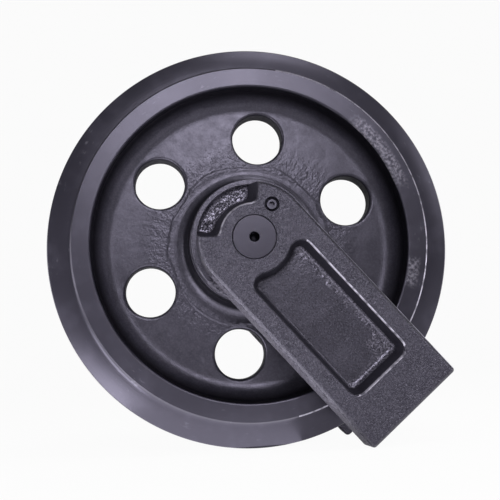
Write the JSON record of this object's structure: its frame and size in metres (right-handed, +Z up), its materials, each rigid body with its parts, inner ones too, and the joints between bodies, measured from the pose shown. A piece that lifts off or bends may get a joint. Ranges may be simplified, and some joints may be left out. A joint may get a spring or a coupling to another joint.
{
  "type": "excavator front idler",
  "caption": "Cast track idler wheel with a centre flange and round web holes, turning on a sealed shaft between two cast support brackets.",
  "frame": {"origin": "on the floor under the middle of the wheel, where the flange rests", "axes": "+Z up, Y along the shaft with the near bracket at -Y, +X towards the bracket arms"},
  "size_m": [0.4, 0.1962, 0.4],
  "materials": {
    "black_paint": "satin black paint over a casting",
    "machined_steel": "ground",
    "hard_steel": "turned",
    "bronze": "machined",
    "rubber": "matte"
  },
  "bodies": {
    "support": {"shaft": "machined_steel", "bracket_near": "black_paint", "lock_pin_near": "hard_steel", "oil_plug_near": "hard_steel", "fixed_seal_ring_near": "hard_steel", "fixed_toric_near": "rubber", "shaft_oring_near": "rubber", "bracket_far": "black_paint", "lock_pin_far": "hard_steel", "oil_plug_far": "hard_steel", "fixed_seal_ring_far": "hard_steel", "fixed_toric_far": "rubber", "shaft_oring_far": "rubber"},
    "wheel": {"idler_wheel": "black_paint", "bush_near": "bronze", "turning_seal_ring_near": "hard_steel", "turning_toric_near": "rubber", "bush_far": "bronze", "turning_seal_ring_far": "hard_steel", "turning_toric_far": "rubber"}
  },
  "joints": [
    {"name": "wheel_spin", "type": "hinge", "parent": "support", "child": "wheel", "pos_m": [0, 0, 0.2], "axis": [0, 1, 0], "continuous": true}
  ]
}
